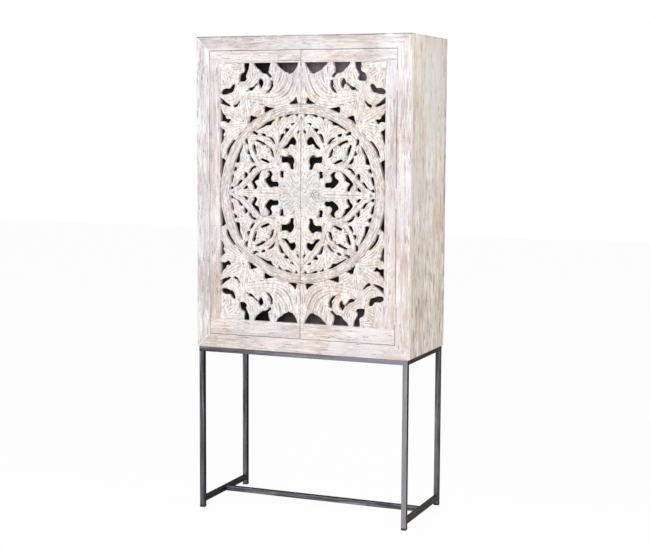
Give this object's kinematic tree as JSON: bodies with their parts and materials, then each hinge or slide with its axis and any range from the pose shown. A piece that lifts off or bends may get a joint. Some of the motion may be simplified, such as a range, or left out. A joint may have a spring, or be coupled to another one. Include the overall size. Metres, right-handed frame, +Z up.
{
  "type": "display cabinet",
  "caption": "Tall display cabinet: a whitewashed case with shelves behind hinged doors that are carved and pierced with a large medallion, on an open square-tube stand.",
  "frame": {"origin": "on the floor under the middle of the part's overall box, which the knob makes deeper at the front", "axes": "+Z up, +X to the right of someone who faces the doors, +Y to the back"},
  "size_m": [0.9, 0.465, 1.9],
  "materials": {
    "whitewashed_wood": "whitewashed, rubbed through on the edges",
    "dark_stained_wood": "dark stain, satin",
    "gunmetal_steel": "gunmetal, satin, a little worn",
    "black_plastic": "satin",
    "hinge_steel": "zinc plated, dull",
    "bone_knob": "bone, polished, with brown specks"
  },
  "bodies": {
    "case": {"back_panel": "dark_stained_wood", "back_panel_screws": "hinge_steel", "bottom_panel": "whitewashed_wood", "catch_magnets": "hinge_steel", "door_stop": "whitewashed_wood", "face_frame_bottom": "whitewashed_wood", "face_frame_left": "whitewashed_wood", "face_frame_right": "whitewashed_wood", "face_frame_top": "whitewashed_wood", "foot_caps": "black_plastic", "frame_hinge_screws": "hinge_steel", "left_bottom_hinge_frame_leaf": "hinge_steel", "left_hinge_pins": "hinge_steel", "left_middle_hinge_frame_leaf": "hinge_steel", "left_top_hinge_frame_leaf": "hinge_steel", "lower_shelf": "dark_stained_wood", "lower_shelf_battens": "dark_stained_wood", "right_bottom_hinge_frame_leaf": "hinge_steel", "right_hinge_pins": "hinge_steel", "right_middle_hinge_frame_leaf": "hinge_steel", "right_top_hinge_frame_leaf": "hinge_steel", "side_panel_left": "whitewashed_wood", "side_panel_right": "whitewashed_wood", "stand_cross_stretcher": "gunmetal_steel", "stand_fixing_screws": "hinge_steel", "stand_fixing_tabs": "gunmetal_steel", "stand_leg_back_left": "gunmetal_steel", "stand_leg_back_right": "gunmetal_steel", "stand_leg_front_left": "gunmetal_steel", "stand_leg_front_right": "gunmetal_steel", "stand_rail_back": "gunmetal_steel", "stand_rail_front": "gunmetal_steel", "stand_rail_left": "gunmetal_steel", "stand_rail_right": "gunmetal_steel", "stand_stretcher_left": "gunmetal_steel", "stand_stretcher_right": "gunmetal_steel", "top_panel": "whitewashed_wood", "upper_shelf": "dark_stained_wood", "upper_shelf_battens": "dark_stained_wood"},
    "left_door": {"left_bottom_hinge_door_leaf": "hinge_steel", "left_carved_panel": "whitewashed_wood", "left_door_bottom_rail": "whitewashed_wood", "left_door_hinge_screws": "hinge_steel", "left_door_stile": "whitewashed_wood", "left_door_strike": "hinge_steel", "left_door_top_rail": "whitewashed_wood", "left_middle_hinge_door_leaf": "hinge_steel", "left_top_hinge_door_leaf": "hinge_steel"},
    "right_door": {"right_bottom_hinge_door_leaf": "hinge_steel", "right_carved_panel": "whitewashed_wood", "right_door_bottom_rail": "whitewashed_wood", "right_door_hinge_screws": "hinge_steel", "right_door_stile": "whitewashed_wood", "right_door_strike": "hinge_steel", "right_door_top_rail": "whitewashed_wood", "right_middle_hinge_door_leaf": "hinge_steel", "right_top_hinge_door_leaf": "hinge_steel", "knob": "bone_knob", "knob_screw": "hinge_steel"}
  },
  "joints": [
    {"name": "right_door_hinge", "type": "hinge", "parent": "case", "child": "right_door", "pos_m": [0.39375, -0.2061, 1.2825], "axis": [0, 0, 1], "range_deg": [0, 175]},
    {"name": "left_door_hinge", "type": "hinge", "parent": "case", "child": "left_door", "pos_m": [-0.39375, -0.2061, 1.2825], "axis": [0, 0, -1], "range_deg": [0, 175]}
  ]
}
